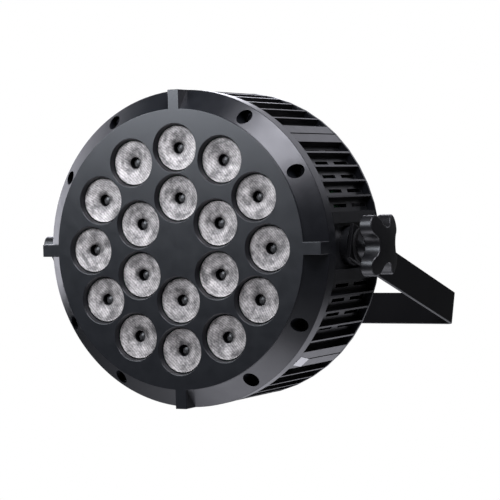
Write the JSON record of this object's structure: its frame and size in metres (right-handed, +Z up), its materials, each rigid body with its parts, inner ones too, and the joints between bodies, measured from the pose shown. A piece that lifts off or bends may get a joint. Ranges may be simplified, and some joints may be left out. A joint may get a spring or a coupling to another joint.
{
  "type": "LED par can stage light",
  "caption": "Round flat stage flood light with lenses in a black front, a finned body, and a U-shaped yoke held by two star knobs.",
  "frame": {"origin": "centre of the clamp bolt's hole, on the outer face of the yoke's cross bar", "axes": "-Y the way the light shines, +Z up, +X to the right of someone who faces the lenses"},
  "size_m": [0.2554, 0.2171, 0.21],
  "materials": {
    "lens": "clear acrylic with a fine frosted texture",
    "shell": "satin black moulding",
    "screw_steel": "blackened steel",
    "yoke_paint": "black powder coat",
    "aluminium": "as extruded",
    "board": "green solder mask",
    "window": "smoked",
    "socket": "moulded nylon",
    "zinc": "zinc plated",
    "brass": "machined",
    "rubber": "matt",
    "knob": "satin nylon",
    "button": "matt"
  },
  "bodies": {
    "yoke": {"yoke": "yoke_paint"},
    "head": {"front_bezel": "shell", "lens_outer_01": "lens", "lens_outer_02": "lens", "lens_outer_03": "lens", "lens_outer_04": "lens", "lens_outer_05": "lens", "lens_outer_06": "lens", "lens_outer_07": "lens", "lens_outer_08": "lens", "lens_outer_09": "lens", "lens_outer_10": "lens", "lens_outer_11": "lens", "lens_outer_12": "lens", "lens_inner_01": "lens", "lens_inner_02": "lens", "lens_inner_03": "lens", "lens_inner_04": "lens", "lens_inner_05": "lens", "lens_inner_06": "lens", "led_board": "board", "bezel_screw_1": "screw_steel", "bezel_screw_2": "screw_steel", "bezel_screw_3": "screw_steel", "bezel_screw_4": "screw_steel", "bezel_screw_5": "screw_steel", "bezel_screw_6": "screw_steel", "bezel_screw_7": "screw_steel", "bezel_screw_8": "screw_steel", "side_panel_right": "shell", "top_panel": "shell", "side_panel_left": "shell", "bottom_panel": "shell", "heat_sink": "aluminium", "fan_frame": "socket", "power_supply": "board", "control_board": "board", "display_board": "board", "display_window": "window", "rear_cover": "shell", "dmx_in": "socket", "dmx_out": "socket", "power_inlet": "socket", "power_outlet": "socket", "safety_eye": "zinc", "right_insert": "brass", "left_insert": "brass"},
    "fan": {"fan_rotor": "socket"},
    "menu_button": {"menu_button": "button"},
    "down_button": {"down_button": "button"},
    "up_button": {"up_button": "button"},
    "enter_button": {"enter_button": "button"},
    "fuse_drawer": {"fuse_drawer": "socket"},
    "dmx_latch": {"dmx_out_latch": "zinc"},
    "right_washer": {"right_washer": "rubber"},
    "right_knob": {"right_knob": "knob", "right_stud": "zinc"},
    "left_washer": {"left_washer": "rubber"},
    "left_knob": {"left_knob": "knob", "left_stud": "zinc"}
  },
  "joints": [
    {"name": "head_tilt", "type": "hinge", "parent": "yoke", "child": "head", "pos_m": [0, -0.16357, 0.0522], "axis": [1, 0, 0], "range_deg": [-150, 115]},
    {"name": "fan_spin", "type": "hinge", "parent": "head", "child": "fan", "pos_m": [0, -0.15857, 0.0722], "axis": [0, 1, 0], "continuous": true},
    {"name": "menu_press", "type": "slide", "parent": "head", "child": "menu_button", "axis": [0, -1, 0], "range_m": [0, 0.0006], "stiffness_N_per_m": 1500, "springref_m": -0.0003},
    {"name": "down_press", "type": "slide", "parent": "head", "child": "down_button", "axis": [0, -1, 0], "range_m": [0, 0.0006], "stiffness_N_per_m": 1500, "springref_m": -0.0003},
    {"name": "up_press", "type": "slide", "parent": "head", "child": "up_button", "axis": [0, -1, 0], "range_m": [0, 0.0006], "stiffness_N_per_m": 1500, "springref_m": -0.0003},
    {"name": "enter_press", "type": "slide", "parent": "head", "child": "enter_button", "axis": [0, -1, 0], "range_m": [0, 0.0006], "stiffness_N_per_m": 1500, "springref_m": -0.0003},
    {"name": "latch_press", "type": "slide", "parent": "head", "child": "dmx_latch", "axis": [0, -1, 0], "range_m": [0, 0.0015], "stiffness_N_per_m": 800, "springref_m": -0.0008},
    {"name": "fuse_drawer_slide", "type": "slide", "parent": "head", "child": "fuse_drawer", "axis": [0, 1, 0], "range_m": [0, 0.012]},
    {"name": "right_clamp_travel", "type": "slide", "parent": "head", "child": "right_washer", "axis": [1, 0, 0], "range_m": [0, 0.00251]},
    {"name": "right_knob_turn", "type": "hinge", "parent": "right_washer", "child": "right_knob", "pos_m": [0.11, -0.16357, 0.0522], "axis": [1, 0, 0], "range_deg": [0, 720]},
    {"name": "left_clamp_travel", "type": "slide", "parent": "head", "child": "left_washer", "axis": [-1, 0, 0], "range_m": [0, 0.00251]},
    {"name": "left_knob_turn", "type": "hinge", "parent": "left_washer", "child": "left_knob", "pos_m": [-0.11, -0.16357, 0.0522], "axis": [-1, 0, 0], "range_deg": [0, 720]}
  ],
  "couplings": [
    {"joint": "right_clamp_travel", "follows": "right_knob_turn", "m_per_rad": 0.00019894},
    {"joint": "left_clamp_travel", "follows": "left_knob_turn", "m_per_rad": 0.00019894}
  ]
}
